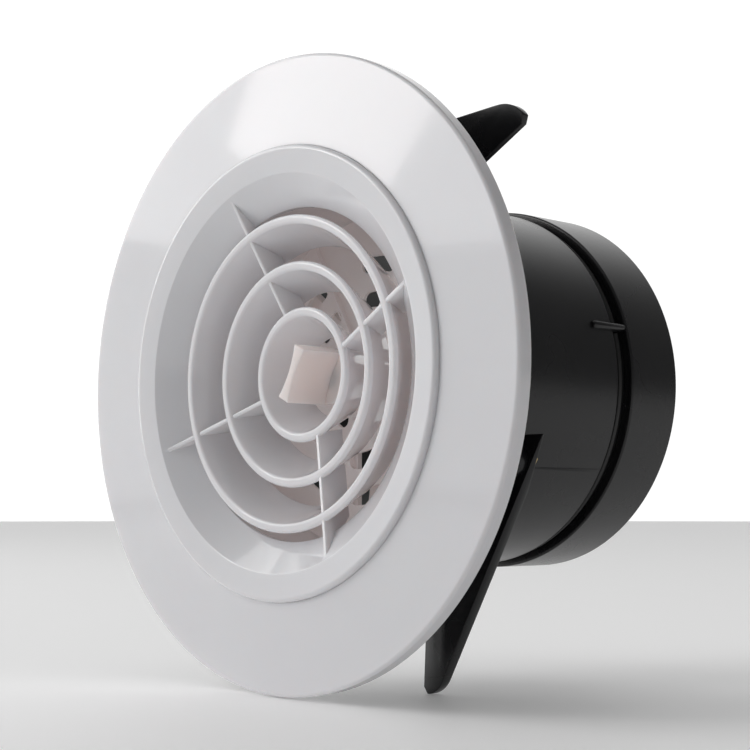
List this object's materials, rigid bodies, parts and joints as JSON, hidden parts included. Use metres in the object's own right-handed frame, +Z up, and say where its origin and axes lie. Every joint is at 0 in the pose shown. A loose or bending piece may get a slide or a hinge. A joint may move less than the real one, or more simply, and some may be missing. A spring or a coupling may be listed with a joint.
{
  "type": "adjustable round air vent",
  "caption": "Round extract vent with a white flanged face, conical louvre grille, fan-leaf damper on a central knob, black duct spigot and swing-out clamp wings.",
  "frame": {"origin": "on the duct axis, in the plane where the rim of the face meets the panel", "axes": "+Y along the duct into the void, -Y towards the room, +Z up"},
  "size_m": [0.16, 0.1005, 0.1604],
  "materials": {
    "white_abs": "glossy white moulded ABS",
    "inner_white": "semi-gloss off-white moulded ABS",
    "knob_nylon": "creamy translucent nylon",
    "black_abs": "semi-gloss black moulded ABS",
    "seal_rubber": "soft black rubber",
    "foam": "closed-cell grey foam",
    "bright_steel": "zinc-plated steel",
    "brass_nut": "turned brass"
  },
  "bodies": {
    "housing": {"face": "white_abs", "gasket": "foam", "grille": "white_abs", "duct_body": "black_abs", "rear_collar": "black_abs", "seal_ring": "seal_rubber", "damper_frame": "inner_white", "fixed_leaf": "inner_white", "face_screws": "bright_steel"},
    "damper_drive": {"knob": "knob_nylon", "spindle": "bright_steel", "spindle_washer": "bright_steel", "spindle_clip": "bright_steel", "leaf_6": "inner_white"},
    "leaf_1": {"leaf_1": "inner_white"},
    "leaf_2": {"leaf_2": "inner_white"},
    "leaf_3": {"leaf_3": "inner_white"},
    "leaf_4": {"leaf_4": "inner_white"},
    "leaf_5": {"leaf_5": "inner_white"},
    "clamp_screw_1": {"clamp_screw_1": "bright_steel", "screw_clip_1": "bright_steel"},
    "clamp_nut_1": {"clamp_nut_1": "brass_nut"},
    "wing_1": {"wing_1": "black_abs"},
    "clamp_screw_2": {"clamp_screw_2": "bright_steel", "screw_clip_2": "bright_steel"},
    "clamp_nut_2": {"clamp_nut_2": "brass_nut"},
    "wing_2": {"wing_2": "black_abs"},
    "clamp_screw_3": {"clamp_screw_3": "bright_steel", "screw_clip_3": "bright_steel"},
    "clamp_nut_3": {"clamp_nut_3": "brass_nut"},
    "wing_3": {"wing_3": "black_abs"}
  },
  "joints": [
    {"name": "knob_turn", "type": "hinge", "parent": "housing", "child": "damper_drive", "pos_m": [0, 0, 0], "axis": [0, 1, 0], "range_deg": [-276, 18]},
    {"name": "leaf_1_turn", "type": "hinge", "parent": "housing", "child": "leaf_1", "pos_m": [0, 0, 0], "axis": [0, 1, 0], "range_deg": [-46.5, 3.5]},
    {"name": "leaf_2_turn", "type": "hinge", "parent": "housing", "child": "leaf_2", "pos_m": [0, 0, 0], "axis": [0, 1, 0], "range_deg": [-93, 7]},
    {"name": "leaf_3_turn", "type": "hinge", "parent": "housing", "child": "leaf_3", "pos_m": [0, 0, 0], "axis": [0, 1, 0], "range_deg": [-139.5, 10.5]},
    {"name": "leaf_4_turn", "type": "hinge", "parent": "housing", "child": "leaf_4", "pos_m": [0, 0, 0], "axis": [0, 1, 0], "range_deg": [-186, 14]},
    {"name": "leaf_5_turn", "type": "hinge", "parent": "housing", "child": "leaf_5", "pos_m": [0, 0, 0], "axis": [0, 1, 0], "range_deg": [-232.5, 17.5]},
    {"name": "clamp_nut_1_travel", "type": "slide", "parent": "housing", "child": "clamp_nut_1", "axis": [0, 1, 0], "range_m": [-0.022, 0]},
    {"name": "clamp_screw_1_turn", "type": "hinge", "parent": "housing", "child": "clamp_screw_1", "pos_m": [0.04933, 0, -0.02196], "axis": [0, 1, 0], "range_deg": [-10, 3970]},
    {"name": "wing_1_swing", "type": "hinge", "parent": "clamp_nut_1", "child": "wing_1", "pos_m": [0.04933, 0, -0.02196], "axis": [0, 1, 0], "range_deg": [-2.3, 20]},
    {"name": "clamp_nut_2_travel", "type": "slide", "parent": "housing", "child": "clamp_nut_2", "axis": [0, 1, 0], "range_m": [-0.0134, 0.0086]},
    {"name": "clamp_screw_2_turn", "type": "hinge", "parent": "housing", "child": "clamp_screw_2", "pos_m": [-0.00564, 0, 0.0537], "axis": [0, 1, 0], "range_deg": [-1558, 2422]},
    {"name": "wing_2_swing", "type": "hinge", "parent": "clamp_nut_2", "child": "wing_2", "pos_m": [-0.00564, 0, 0.0537], "axis": [0, 1, 0], "range_deg": [0, 22.3]},
    {"name": "clamp_nut_3_travel", "type": "slide", "parent": "housing", "child": "clamp_nut_3", "axis": [0, 1, 0], "range_m": [-0.022, 0]},
    {"name": "clamp_screw_3_turn", "type": "hinge", "parent": "housing", "child": "clamp_screw_3", "pos_m": [-0.04369, 0, -0.03174], "axis": [0, 1, 0], "range_deg": [-10, 3970]},
    {"name": "wing_3_swing", "type": "hinge", "parent": "clamp_nut_3", "child": "wing_3", "pos_m": [-0.04369, 0, -0.03174], "axis": [0, 1, 0], "range_deg": [-2.3, 20]}
  ],
  "couplings": [
    {"joint": "leaf_1_turn", "follows": "knob_turn", "ratio": 0.16667},
    {"joint": "leaf_2_turn", "follows": "knob_turn", "ratio": 0.33333},
    {"joint": "leaf_3_turn", "follows": "knob_turn", "ratio": 0.5},
    {"joint": "leaf_4_turn", "follows": "knob_turn", "ratio": 0.66667},
    {"joint": "leaf_5_turn", "follows": "knob_turn", "ratio": 0.83333},
    {"joint": "clamp_screw_1_turn", "follows": "clamp_nut_1_travel", "rad_per_m": -3141.6},
    {"joint": "clamp_screw_2_turn", "follows": "clamp_nut_2_travel", "rad_per_m": -3141.6},
    {"joint": "clamp_screw_3_turn", "follows": "clamp_nut_3_travel", "rad_per_m": -3141.6}
  ]
}
